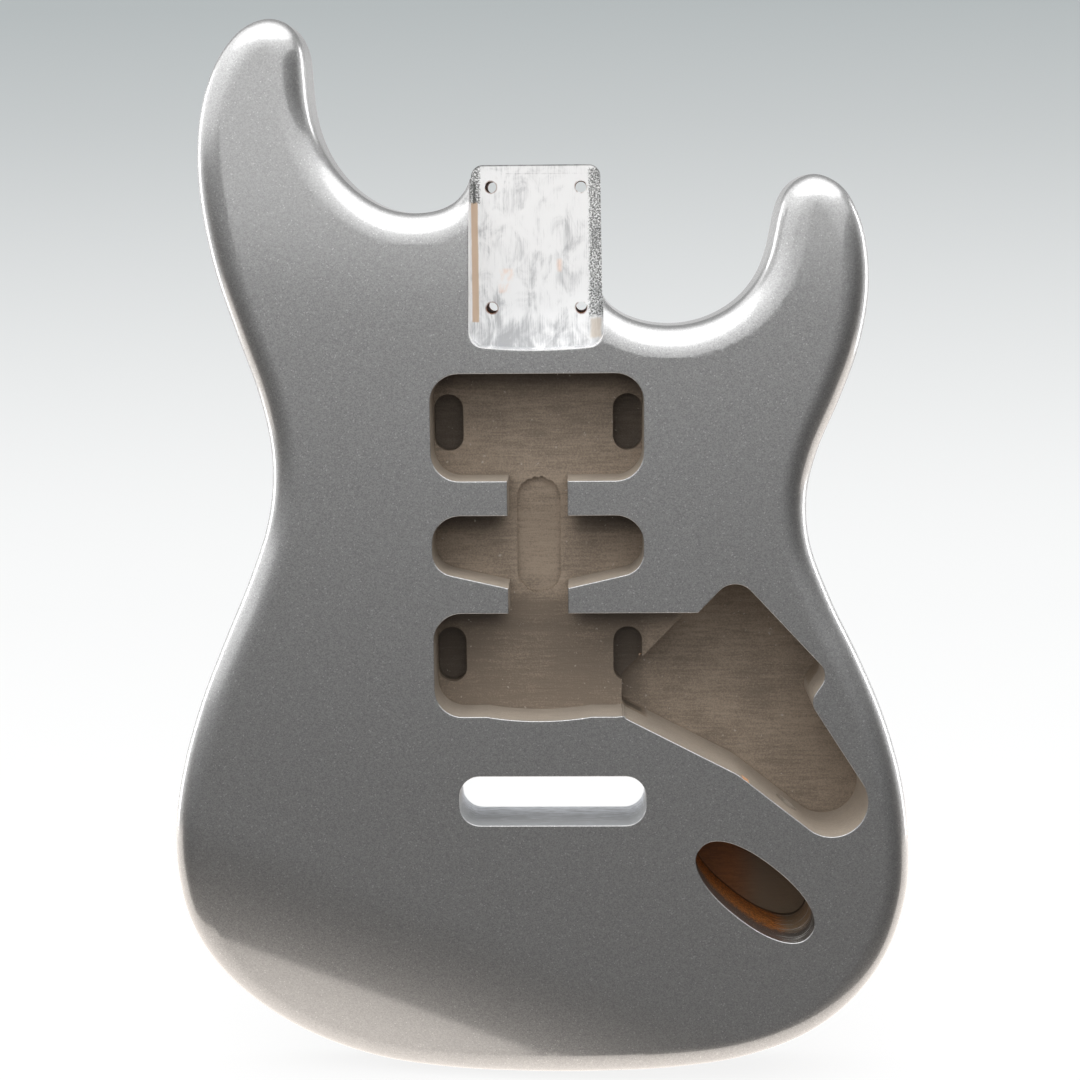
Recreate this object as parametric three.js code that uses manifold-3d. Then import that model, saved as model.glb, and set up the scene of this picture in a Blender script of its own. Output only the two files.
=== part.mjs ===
import * as THREE from "three";
import { TessellateModifier } from "three/addons/modifiers/TessellateModifier.js";
import { mergeGeometries, mergeVertices } from "three/addons/utils/BufferGeometryUtils.js";
import Module from "manifold-3d";

const wasm = await Module();
wasm.setup();

// Bare body of a double-cutaway electric guitar, glued up from three boards, in millimetres.
// It is drawn lying on its back: x to the treble side, y to the neck, z out of the front face,
// with the front face at z = 0 and the middle of the four neck bolts at x = y = 0.
const body = {
  length: 466.6,
  width: 324.6,
  thickness: 44.5,
  edgeRadius: 12.7,
  edgeSteps: 4,
  knotSteps: 3,
  rimFacet: 12,
  roomHalvings: 8,
  capFacet: 26,
  capPasses: 30,
  weld: 0.0001,
};
// A rim point is drawn in while its own part of the rim is nearest, by this share of its reach,
// and then only by a share of the room that it has.
const nearestShare = 0.9;
const roomShare = 0.6;
const boards = { seamFromMiddle: 54, glueLine: 0.06 };

// Tongue under the neck's heel, and the pocket that the heel is bolted into.
const neckPocket = {
  depth: 15.9,
  widthAtMouth: 55,
  widthAtEnd: 57,
  endFromBolts: 42.2,
  endBow: 1.8,
  cornerRadius: 5.6,
};
const tongue = {
  reachFromBolts: 34.6,
  cornerRadius: 5,
  sideReveal: 0.3,
  backEdgeRadius: 3,
  edgeBlend: 32,
  crownShare: 0.004,
};
const neckBolts = { spacingAcross: 38.1, spacingAlong: 50.8, diameter: 4.8 };

// Pickup routes share one depth, and the two wide ones have a deeper slot at each end for the
// pickup's mounting ears.
const pickups = {
  depth: 23,
  length: 90.3,
  width: 45.6,
  cornerRadius: 12,
  neckFromBolts: 75,
  bridgeFromBolts: 177.9,
  earWidth: 12.7,
  earLength: 24.6,
  earDepth: 31,
  bridgeWallBow: 1.9,
};
const middlePickup = {
  nearEdgeFromBolts: 112.7,
  endWidth: 24,
  middleWidth: 34.3,
  nearCornerRadius: 12,
  farCornerRadius: 10,
};
const wiringChannel = { width: 25.6, grooveWidth: 19, grooveDepth: 25.5, grooveEndLand: 1, grooveStop: 5.2 };

// Route for the volume and tone controls and the selector switch, open to the bridge pickup.
const controls = {
  depth: 38,
  width: 106.8,
  length: 113.6,
  leftFromMiddle: 36,
  nearEdgeFromBolts: 142.7,
};
// Its corners, before rounding, as shares of its width and length from the near bass corner.
const controlCornerShares = [
  [0, 0.406],
  [0, 0.511],
  [0.468, 0.739],
  [1.442, 1.464],
  [0.755, 0.456],
  [0.832, 0.347],
  [0.452, -0.037],
];
// Radius of each corner as a share of the width.
const controlRadiusShares = [0.056, 0.047, 0.234, 0.145, 0.066, 0.067, 0.086];

const jackRoute = { length: 62.4, width: 27.2, depth: 38, tilt: -39.8, squareness: 2.25, steps: 36 };
// Its middle: across, a share of half the body's width, and along, a share of the way from the
// control route's long wall to the tail.
const jackAcrossShare = 0.579;
const jackAlongShare = 0.3396;

// Slot for the tremolo block, and the rear cavity that its springs lie in.
const tremoloSlot = {
  length: 81.4,
  width: 22.1,
  cornerRadius: 9,
  nearEdgeFromBolts: 227.4,
  trebleOffset: 5.5,
};
const springCavity = {
  depth: 16,
  width: 57,
  farEndFromSlot: 108,
  cornerRadius: 8,
  blockNear: 15,
  blockFar: 7.5,
  blockSide: 4,
};
const wiring = { jackHole: 11, groundHole: 5, holeSides: 18 };
// Where the two ways open into the control route, as shares of its width and length.
const jackWayShare = [0.75, 0.75];
const groundWayShare = [0.1, 0.42];

// Comfort cuts: one on the front for the forearm, one on the back at the waist.
const forearmCut = { depth: 18, run: 84, angle: 22.5, tailReach: 369 };
const bellyCut = { depth: 18, reach: 64, halfLength: 118, rimX: 118, rimY: 86, fullness: 1.25 };

const overrun = 5;
// Corner radius, as a share of a slot's width, that makes its end a half circle.
const roundEnd = 0.498;
const finish = { color: 0x757575, roughness: 0.35, metalness: 0.7 };

// Rim of the body from the tongue's bass side, round the tail, to its treble side. Across, the
// cutaways are shares of the way from the tongue's side to the widest point, and the rest is
// shares of half the width. Along, the bass cutaway is shares of the way from the tongue's corner
// to the horn's tip, and the rest is shares of the length.
const bassCutawayShares = [
  [0.0173, -0.0808],
  [0.0511, -0.1584],
  [0.1001, -0.2055],
  [0.1789, -0.2254],
  [0.2607, -0.1962],
  [0.3361, -0.1143],
  [0.3949, -0.006],
  [0.4424, 0.128],
  [0.4766, 0.289],
  [0.4954, 0.465],
  [0.502, 0.6502],
  [0.5119, 0.8205],
];
const outerRimShares = [
  [-0.6235, 0.1964],
  [-0.6754, 0.2038],
  [-0.7413, 0.1969],
  [-0.7971, 0.1779],
  [-0.8382, 0.1517],
  [-0.8659, 0.118],
  [-0.8762, 0.0744],
  [-0.8666, 0.0297],
  [-0.8373, -0.0217],
  [-0.7866, -0.0773],
  [-0.735, -0.1309],
  [-0.7073, -0.1784],
  [-0.7064, -0.2169],
  [-0.7246, -0.2543],
  [-0.7748, -0.3035],
  [-0.8471, -0.3616],
  [-0.9127, -0.4172],
  [-0.9662, -0.4766],
  [-0.996, -0.5331],
  [-1, -0.5842],
  [-0.9737, -0.6404],
  [-0.9108, -0.6868],
  [-0.8004, -0.7306],
  [-0.6506, -0.7656],
  [-0.4683, -0.788],
  [-0.2666, -0.796],
  [-0.0519, -0.7958],
  [0.1602, -0.7919],
  [0.3608, -0.7852],
  [0.5575, -0.772],
  [0.7363, -0.7468],
  [0.8618, -0.7109],
  [0.9474, -0.6655],
  [0.9935, -0.6114],
  [1, -0.5629],
  [0.979, -0.5015],
  [0.9274, -0.4384],
  [0.8574, -0.3809],
  [0.7769, -0.3235],
  [0.7205, -0.2703],
  [0.711, -0.2261],
  [0.7363, -0.1862],
  [0.7918, -0.1394],
  [0.839, -0.0934],
  [0.863, -0.0466],
  [0.861, -0.0091],
  [0.8383, 0.025],
  [0.7894, 0.0529],
  [0.7206, 0.0637],
  [0.668, 0.057],
];
const trebleCutawayShares = [
  [0.5641, 0.043],
  [0.5434, 0.0215],
  [0.5268, -0.0023],
  [0.4941, -0.0267],
  [0.4357, -0.0476],
  [0.3582, -0.0621],
  [0.2761, -0.0694],
  [0.194, -0.0707],
  [0.1121, -0.0665],
  [0.0489, -0.0579],
  [0.0172, -0.0492],
];
const trebleJoinShare = -0.0431;

// Half the pocket's width at a distance y from the bolts towards the neck.
function pocketHalf(y) {
  const share = (tongue.reachFromBolts - y) / (tongue.reachFromBolts + neckPocket.endFromBolts);
  return THREE.MathUtils.lerp(neckPocket.widthAtMouth, neckPocket.widthAtEnd, share) / 2;
}

function rimPoints() {
  const cornerY = tongue.reachFromBolts - tongue.cornerRadius;
  const side = pocketHalf(cornerY) - tongue.sideReveal;
  const joinY = trebleJoinShare * body.length;
  const tipY = Math.max(...outerRimShares.map(([, along]) => along)) * body.length;
  const acrossCutaway = (share) => THREE.MathUtils.lerp(side, body.width / 2, share);
  const bass = ([across, along]) => {
    return new THREE.Vector3(-acrossCutaway(across), THREE.MathUtils.lerp(cornerY, tipY, along), 0);
  };
  const treble = ([across, along]) => new THREE.Vector3(acrossCutaway(across), along * body.length, 0);
  const outer = ([across, along]) => new THREE.Vector3((across * body.width) / 2, along * body.length, 0);
  const knots = [
    new THREE.Vector3(-side, cornerY, 0),
    ...bassCutawayShares.map(bass),
    ...outerRimShares.map(outer),
    ...trebleCutawayShares.map(treble),
    new THREE.Vector3(pocketHalf(joinY) - tongue.sideReveal, joinY, 0),
  ];
  const curve = new THREE.CatmullRomCurve3(knots, false, "centripetal");
  const points = [
    ...curve.getPoints(body.knotSteps * (knots.length - 1)),
    ...tongueCorner(side - tongue.cornerRadius, cornerY, 0),
    ...tongueCorner(tongue.cornerRadius - side, cornerY, Math.PI / 2).slice(0, -1),
  ];
  return points.flatMap((point, i) => crownedSteps(point, points[(i + 1) % points.length]));
}

function tongueCorner(x, y, from) {
  const radius = tongue.cornerRadius;
  const arc = new THREE.EllipseCurve(x, y, radius, radius, from, from + Math.PI / 2);
  return arc.getPoints(2 * body.edgeSteps).map((point) => new THREE.Vector3(point.x, point.y, 0));
}

// Points from one to the next, the last left out. A long edge is crowned a little outwards.
function crownedSteps(from, to) {
  const count = Math.ceil(from.distanceTo(to) / body.rimFacet);
  const outward = new THREE.Vector3(to.y - from.y, from.x - to.x, 0).multiplyScalar(tongue.crownShare);
  const middle = from.clone().lerp(to, 0.5).add(outward);
  return new THREE.QuadraticBezierCurve3(from, middle, to).getPoints(count).slice(0, -1);
}

const rim = rimPoints();

function rimDistance(x, y) {
  const point = new THREE.Vector3(x, y, 0);
  const nearest = new THREE.Vector3();
  const distances = rim.map((from, i) => {
    const side = new THREE.Line3(from, rim[(i + 1) % rim.length]);
    return side.closestPointToPoint(point, true, nearest).distanceTo(point);
  });
  return Math.min(...distances);
}

// How far the comfort cuts lower the front face and raise the back face at a point.
function forearmDrop(x, y) {
  const angle = THREE.MathUtils.degToRad(forearmCut.angle);
  const along = -x * Math.sin(angle) - y * Math.cos(angle);
  const share = (along - forearmCut.tailReach + forearmCut.run) / forearmCut.run;
  return forearmCut.depth * Math.max(0, share) ** 2;
}

function bellyRise(x, y) {
  const across = (x + bellyCut.rimX) / bellyCut.reach;
  const along = (y + bellyCut.rimY) / bellyCut.halfLength;
  return bellyCut.depth * Math.max(0, 1 - across ** 2 - along ** 2) ** bellyCut.fullness;
}

// How far a point lies outside the pocket's sides and end.
function pocketDistance(x, y) {
  return Math.max(0, Math.abs(x) - pocketHalf(y), -y - neckPocket.endFromBolts);
}

// Full along the rim, and small round the tongue, with a blend of some width between.
function edgeReach(x, y, blendWidth) {
  const blend = THREE.MathUtils.smoothstep(pocketDistance(x, y), 0, blendWidth);
  return THREE.MathUtils.lerp(tongue.backEdgeRadius, body.edgeRadius, blend);
}

function backRadius(x, y) {
  return edgeReach(x, y, tongue.edgeBlend);
}

// How far a round edge of one radius has fallen away at a distance in from the rim.
function edgeFall(radius, distance) {
  return radius - Math.sqrt(radius ** 2 - Math.max(0, radius - distance) ** 2);
}

// Each face's height, and how far its rings are drawn in. The front's stay near the rim where
// the pocket is cut.
const front = {
  reach: (x, y) => edgeReach(x, y, body.edgeRadius),
  height: (x, y) => -edgeFall(body.edgeRadius, rimDistance(x, y)) - forearmDrop(x, y),
};
const back = {
  reach: backRadius,
  height: (x, y) => edgeFall(backRadius(x, y), rimDistance(x, y)) + bellyRise(x, y) - body.thickness,
};

// Into the body, square to the rim, at each of its points.
const inward = rim.map((point, i) => {
  const tangent = rim[(i + 1) % rim.length].clone().sub(rim.at(i - 1)).normalize();
  return new THREE.Vector3(-tangent.y, tangent.x, 0);
});

// How far each rim point can be drawn in before another part of the rim is nearer.
const room = rim.map((point, i) => {
  let clear = 0;
  let blocked = body.edgeRadius / roomShare;
  for (let halving = 0; halving < body.roomHalvings; halving++) {
    const reach = (clear + blocked) / 2;
    const inner = point.clone().addScaledVector(inward[i], reach);
    if (rimDistance(inner.x, inner.y) > nearestShare * reach) {
      clear = reach;
    } else {
      blocked = reach;
    }
  }
  return clear;
});

// One ring round a face, drawn in from the rim by the round edge at a turn from 0, on the face,
// to a right angle, on the side. Where the rim bends tighter than the edge it is drawn in less.
function ring(face, turn) {
  return rim.map((point, i) => {
    const reach = Math.min(face.reach(point.x, point.y), roomShare * room[i]);
    const inner = point.clone().addScaledVector(inward[i], reach * (1 - Math.sin(turn)));
    const x = Math.fround(inner.x);
    const y = Math.fround(inner.y);
    return new THREE.Vector3(x, y, face.height(x, y));
  });
}

function strip(lower, upper) {
  const positions = [];
  lower.forEach((a, i) => {
    const b = lower[(i + 1) % lower.length];
    const c = upper[(i + 1) % upper.length];
    const d = upper[i];
    [a, b, c, a, c, d].forEach((p) => positions.push(p.x, p.y, p.z));
  });
  return new THREE.BufferGeometry().setAttribute("position", new THREE.Float32BufferAttribute(positions, 3));
}

function cap(face, edge) {
  const shape = new THREE.Shape(edge.map((p) => new THREE.Vector2(p.x, p.y)));
  const flat = new THREE.ShapeGeometry(shape).toNonIndexed();
  const fine = new TessellateModifier(body.capFacet, body.capPasses).modify(flat);
  const position = fine.getAttribute("position");
  for (let i = 0; i < position.count; i++) {
    position.setZ(i, face.height(position.getX(i), position.getY(i)));
  }
  const facing = face === back ? turnedOver(position) : position;
  return new THREE.BufferGeometry().setAttribute("position", facing);
}

function turnedOver(position) {
  const turned = position.clone();
  for (let i = 0; i < position.count; i += 3) {
    turned.copyAt(i + 1, position, i + 2);
    turned.copyAt(i + 2, position, i + 1);
  }
  return turned;
}

function toSolid(geometry) {
  const bare = geometry.clone();
  bare.deleteAttribute("normal");
  bare.deleteAttribute("uv");
  const merged = mergeVertices(bare, body.weld);
  return new wasm.Manifold(
    new wasm.Mesh({
      numProp: 3,
      vertProperties: new Float32Array(merged.attributes.position.array),
      triVerts: new Uint32Array(merged.index.array),
    }),
  );
}

function toGeometry(solid) {
  const mesh = solid.getMesh();
  const geometry = new THREE.BufferGeometry();
  geometry.setAttribute("position", new THREE.BufferAttribute(mesh.vertProperties, 3));
  geometry.setIndex(new THREE.BufferAttribute(mesh.triVerts, 1));
  geometry.computeVertexNormals();
  return geometry;
}

function slab() {
  const turns = [...Array(body.edgeSteps + 1).keys()].map((step) => (Math.PI / 2) * (step / body.edgeSteps));
  const backRings = turns.map((turn) => ring(back, turn));
  const frontRings = turns.map((turn) => ring(front, turn));
  const rings = [...backRings, ...frontRings.toReversed()];
  const strips = rings.slice(1).map((upper, i) => strip(rings[i], upper));
  return toSolid(mergeGeometries([cap(back, backRings[0]), ...strips, cap(front, frontRings[0])]));
}

// A closed outline with straight sides, whose corners [x, y, radius] are rounded with true arcs.
function roundedOutline(corners) {
  const outline = new THREE.Shape();
  corners.forEach(([x, y, radius], i) => {
    const corner = new THREE.Vector2(x, y);
    const [backX, backY] = corners.at(i - 1);
    const [aheadX, aheadY] = corners[(i + 1) % corners.length];
    const back = new THREE.Vector2(backX, backY).sub(corner).normalize();
    const ahead = new THREE.Vector2(aheadX, aheadY).sub(corner).normalize();
    const half = Math.acos(back.dot(ahead)) / 2;
    const centre = back.clone().add(ahead).setLength(radius / Math.sin(half)).add(corner);
    const start = back.multiplyScalar(radius / Math.tan(half)).add(corner).sub(centre);
    const end = ahead.multiplyScalar(radius / Math.tan(half)).add(corner).sub(centre);
    outline.absarc(centre.x, centre.y, radius, start.angle(), end.angle(), start.cross(end) < 0);
  });
  return outline;
}

function roundedBox(x, y, width, height, radius) {
  const corners = [[-1, -1], [1, -1], [1, 1], [-1, 1]];
  return roundedOutline(corners.map(([i, j]) => [x + (i * width) / 2, y + (j * height) / 2, radius]));
}

// A cutter of one outline, from z = low to z = high.
function cutter(outline, low, high, curveSegments = 6) {
  const options = { depth: high - low, bevelEnabled: false, curveSegments };
  return toSolid(new THREE.ExtrudeGeometry(outline, options).translate(0, 0, low));
}

const fromFront = (outline, depth) => cutter(outline, -depth, overrun);
const fromBack = (outline, depth) => cutter(outline, -body.thickness - overrun, depth - body.thickness);

// A straight round hole between two points.
function drilled(from, to, diameter) {
  const way = new THREE.Vector3().subVectors(to, from);
  const upright = new THREE.Vector3(0, 1, 0);
  const turn = new THREE.Quaternion().setFromUnitVectors(upright, way.clone().normalize());
  const middle = from.clone().addScaledVector(way, 0.5);
  const hole = new THREE.CylinderGeometry(diameter / 2, diameter / 2, way.length(), wiring.holeSides);
  return toSolid(hole.applyQuaternion(turn).translate(middle.x, middle.y, middle.z));
}

function neckPocketCut() {
  const mouthY = tongue.reachFromBolts + overrun;
  const endY = neckPocket.endBow - neckPocket.endFromBolts;
  const end = neckPocket.widthAtEnd / 2;
  const mouth = pocketHalf(mouthY);
  const radius = neckPocket.cornerRadius;
  const lean = (2 * neckPocket.endBow * radius) / end;
  const outline = new THREE.Shape();
  outline.moveTo(mouth, mouthY);
  outline.lineTo(-mouth, mouthY);
  outline.lineTo(-end, endY + radius);
  outline.quadraticCurveTo(-end, endY, radius - end, endY - lean);
  outline.quadraticCurveTo(0, endY - 2 * neckPocket.endBow, end - radius, endY - lean);
  outline.quadraticCurveTo(end, endY, end, endY + radius);
  return fromFront(outline, neckPocket.depth);
}

function neckBoltHoles() {
  const sides = [-1, 1];
  return sides.flatMap((i) =>
    sides.map((j) => {
      const x = (i * neckBolts.spacingAcross) / 2;
      const y = (j * neckBolts.spacingAlong) / 2;
      const front = new THREE.Vector3(x, y, 0);
      const back = new THREE.Vector3(x, y, -body.thickness - overrun);
      return drilled(front, back, neckBolts.diameter);
    }),
  );
}

// A wide pickup's route with its two ear slots.
function widePickupCuts(fromBolts) {
  const route = roundedBox(0, -fromBolts, pickups.length, pickups.width, pickups.cornerRadius);
  const earX = (pickups.length - pickups.earWidth) / 2;
  const earRadius = pickups.earWidth * roundEnd;
  const ears = [-earX, earX].map((x) => {
    const ear = roundedBox(x, -fromBolts, pickups.earWidth, pickups.earLength, earRadius);
    return fromFront(ear, pickups.earDepth);
  });
  return [fromFront(route, pickups.depth), ...ears];
}

// The bridge pickup's far wall swells a little towards the bridge.
function bridgeWallSwell() {
  const wallY = -pickups.bridgeFromBolts - pickups.width / 2;
  const half = pickups.length / 4;
  const swell = new THREE.Shape();
  swell.moveTo(half, wallY + overrun);
  swell.lineTo(-half, wallY + overrun);
  swell.lineTo(-half, wallY);
  swell.quadraticCurveTo(0, wallY - 2 * pickups.bridgeWallBow, half, wallY);
  return fromFront(swell, pickups.depth);
}

function middlePickupCut() {
  const half = pickups.length / 2;
  const near = -middlePickup.nearEdgeFromBolts;
  return fromFront(
    roundedOutline([
      [half, near, middlePickup.nearCornerRadius],
      [-half, near, middlePickup.nearCornerRadius],
      [-half, near - middlePickup.endWidth, middlePickup.farCornerRadius],
      [0, near - middlePickup.middleWidth, middlePickup.farCornerRadius],
      [half, near - middlePickup.endWidth, middlePickup.farCornerRadius],
    ]),
    pickups.depth,
  );
}

// The channel joins the three pickup routes, with a deeper round-ended groove along its middle.
function wiringChannelCuts() {
  const top = -pickups.neckFromBolts;
  const bottom = -pickups.bridgeFromBolts;
  const channel = new THREE.Shape();
  const half = wiringChannel.width / 2;
  channel.moveTo(-half, bottom);
  channel.lineTo(half, bottom);
  channel.lineTo(half, top);
  channel.lineTo(-half, top);
  const grooveTop = top - pickups.width / 2 - wiringChannel.grooveEndLand;
  const grooveBottom = bottom + pickups.width / 2 + wiringChannel.grooveStop;
  const groove = roundedBox(
    0,
    (grooveTop + grooveBottom) / 2,
    wiringChannel.grooveWidth,
    grooveTop - grooveBottom,
    wiringChannel.grooveWidth * roundEnd,
  );
  return [fromFront(channel, pickups.depth), fromFront(groove, wiringChannel.grooveDepth)];
}

function controlPoint([across, along]) {
  const x = controls.leftFromMiddle + across * controls.width;
  const y = -controls.nearEdgeFromBolts - along * controls.length;
  return [x, y];
}

function controlCuts() {
  const corners = controlCornerShares.map((share, i) => {
    const [x, y] = controlPoint(share);
    return [x, y, controlRadiusShares[i] * controls.width];
  });
  return fromFront(roundedOutline(corners), controls.depth);
}

// Shelf at pickup depth that runs from the bridge pickup's treble end into the control route.
function controlShelfCut() {
  const nearY = -pickups.bridgeFromBolts + pickups.width / 2;
  const [apexX] = controlPoint(controlCornerShares.at(-1));
  const shelf = new THREE.Shape();
  shelf.moveTo(controls.leftFromMiddle - pickups.cornerRadius, nearY);
  shelf.lineTo(controls.leftFromMiddle, -pickups.bridgeFromBolts - pickups.width / 2);
  shelf.lineTo(apexX, nearY);
  return fromFront(shelf, pickups.depth);
}

function jackMiddle() {
  const x = (jackAcrossShare * body.width) / 2;
  const [startX, startY] = controlPoint(controlCornerShares[2]);
  const [endX, endY] = controlPoint(controlCornerShares[3]);
  const wallY = THREE.MathUtils.mapLinear(x, startX, endX, startY, endY);
  const tailY = Math.min(...outerRimShares.map(([, along]) => along)) * body.length;
  return new THREE.Vector3(x, THREE.MathUtils.lerp(wallY, tailY, jackAlongShare), 0);
}

// Superellipse, tilted so that it follows the edge of the lower bout.
function jackCut() {
  const tilt = THREE.MathUtils.degToRad(jackRoute.tilt);
  const middle = jackMiddle();
  const power = 2 / jackRoute.squareness;
  const oval = [...Array(jackRoute.steps).keys()].map((step) => {
    const turn = (2 * Math.PI * step) / jackRoute.steps;
    const round = (value) => Math.sign(value) * Math.abs(value) ** power;
    const point = new THREE.Vector2(
      (round(Math.cos(turn)) * jackRoute.length) / 2,
      (round(Math.sin(turn)) * jackRoute.width) / 2,
    );
    return point.rotateAround(new THREE.Vector2(), tilt).add(middle);
  });
  return fromFront(new THREE.Shape(oval), jackRoute.depth);
}

function tremoloSlotCut() {
  const { length, width, cornerRadius, nearEdgeFromBolts, trebleOffset } = tremoloSlot;
  const outline = roundedBox(trebleOffset, -nearEdgeFromBolts - width / 2, length, width, cornerRadius);
  return fromFront(outline, body.thickness + overrun);
}

function springCavityCuts() {
  const nearY = springCavity.farEndFromSlot - tremoloSlot.nearEdgeFromBolts;
  const blockTop = springCavity.blockNear - tremoloSlot.nearEdgeFromBolts;
  const bottom = -tremoloSlot.nearEdgeFromBolts - tremoloSlot.width - springCavity.blockFar;
  const blockWidth = tremoloSlot.length + 2 * springCavity.blockSide;
  const pocket = (x, top, width) => {
    const outline = roundedBox(x, (top + bottom) / 2, width, top - bottom, springCavity.cornerRadius);
    return fromBack(outline, springCavity.depth);
  };
  return [pocket(0, nearY, springCavity.width), pocket(tremoloSlot.trebleOffset, blockTop, blockWidth)];
}

// Drilled ways for the wires: jack to controls, and controls to the spring cavity for the ground.
function wiringHoles() {
  const jack = jackMiddle().setZ(-jackRoute.depth / 2);
  const [endX, endY] = controlPoint(jackWayShare);
  const controlEnd = new THREE.Vector3(endX, endY, -controls.depth / 2);
  const [leftX, leftY] = controlPoint(groundWayShare);
  const controlLeft = new THREE.Vector3(leftX, leftY, -controls.depth + wiring.groundHole);
  const springs = new THREE.Vector3(0, leftY, -body.thickness + springCavity.depth / 2);
  return [drilled(jack, controlEnd, wiring.jackHole), drilled(controlLeft, springs, wiring.groundHole)];
}

function routedBody() {
  const cuts = [
    neckPocketCut(),
    ...neckBoltHoles(),
    ...widePickupCuts(pickups.neckFromBolts),
    ...widePickupCuts(pickups.bridgeFromBolts),
    bridgeWallSwell(),
    middlePickupCut(),
    ...wiringChannelCuts(),
    controlCuts(),
    controlShelfCut(),
    jackCut(),
    tremoloSlotCut(),
    ...springCavityCuts(),
    ...wiringHoles(),
  ];
  return cuts.reduce((solid, cut) => solid.subtract(cut), slab());
}

// The blank of one board, between two glue lines.
function blank(left, right) {
  const box = new THREE.BoxGeometry(right - left, 2 * body.length, 4 * body.thickness);
  return toSolid(box.translate((left + right) / 2, 0, 0));
}

function board(name, whole, left, right) {
  const paint = new THREE.MeshStandardMaterial(finish);
  const mesh = new THREE.Mesh(toGeometry(whole.intersect(blank(left, right))), paint);
  mesh.name = name;
  return mesh;
}

const whole = routedBody();
const inner = boards.seamFromMiddle - boards.glueLine / 2;
const outer = boards.seamFromMiddle + boards.glueLine / 2;
const glueUp = new THREE.Group();
glueUp.add(board("bass_side_board", whole, -body.width, -outer));
glueUp.add(board("centre_board", whole, -inner, inner));
glueUp.add(board("treble_side_board", whole, outer, body.width));
glueUp.position.z = neckPocket.depth;

// Stood up: the front faces -Y, the neck end is up, and the origin is on the pocket's floor.
const guitarBody = new THREE.Group();
guitarBody.add(glueUp);
guitarBody.rotation.x = Math.PI / 2;

export default guitarBody;
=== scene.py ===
import math

import bmesh
import bpy
from mathutils import Matrix, Vector, noise
from mathutils.bvhtree import BVHTree


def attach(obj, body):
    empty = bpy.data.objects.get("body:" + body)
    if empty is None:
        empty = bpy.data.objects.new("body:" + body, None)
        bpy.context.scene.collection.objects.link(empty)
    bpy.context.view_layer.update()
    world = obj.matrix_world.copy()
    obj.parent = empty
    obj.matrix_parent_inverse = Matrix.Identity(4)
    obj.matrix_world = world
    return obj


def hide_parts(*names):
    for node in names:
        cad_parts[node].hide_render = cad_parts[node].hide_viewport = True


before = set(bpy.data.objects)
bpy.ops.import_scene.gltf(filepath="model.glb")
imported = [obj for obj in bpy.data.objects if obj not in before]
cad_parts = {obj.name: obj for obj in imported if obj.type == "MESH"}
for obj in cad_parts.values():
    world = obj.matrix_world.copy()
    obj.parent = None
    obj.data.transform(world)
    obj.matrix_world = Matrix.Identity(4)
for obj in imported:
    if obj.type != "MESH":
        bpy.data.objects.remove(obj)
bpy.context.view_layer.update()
print("frame loaded")

# Everything is drawn lying on its back in millimetres, as the boards were: x to the treble side,
# y to the neck, z out of the front face, with z = 0 on it. It is then stood up into the frame.
pocketDepth = 15.9
standUp = (
    Matrix.Rotation(math.pi / 2, 4, "X") @ Matrix.Translation((0, 0, pocketDepth / 1000))
    @ Matrix.Scale(0.001, 4)
)


class Link:
    # A shader socket that can be used in sums.
    def __init__(self, graph, socket):
        self.graph = graph
        self.socket = socket

    def maths(self, operation, *values):
        return self.graph.add("ShaderNodeMath", {"operation": operation}, list(values))

    def __add__(self, other):
        return self.maths("ADD", self, other)

    def __radd__(self, other):
        return self.maths("ADD", other, self)

    def __sub__(self, other):
        return self.maths("SUBTRACT", self, other)

    def __rsub__(self, other):
        return self.maths("SUBTRACT", other, self)

    def __mul__(self, other):
        return self.maths("MULTIPLY", self, other)

    def __rmul__(self, other):
        return self.maths("MULTIPLY", other, self)

    def __truediv__(self, other):
        return self.maths("DIVIDE", self, other)

    def __pow__(self, other):
        return self.maths("POWER", self, other)

    def __abs__(self):
        return self.maths("ABSOLUTE", self)

    def highest(self, other):
        return self.maths("MAXIMUM", self, other)


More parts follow.
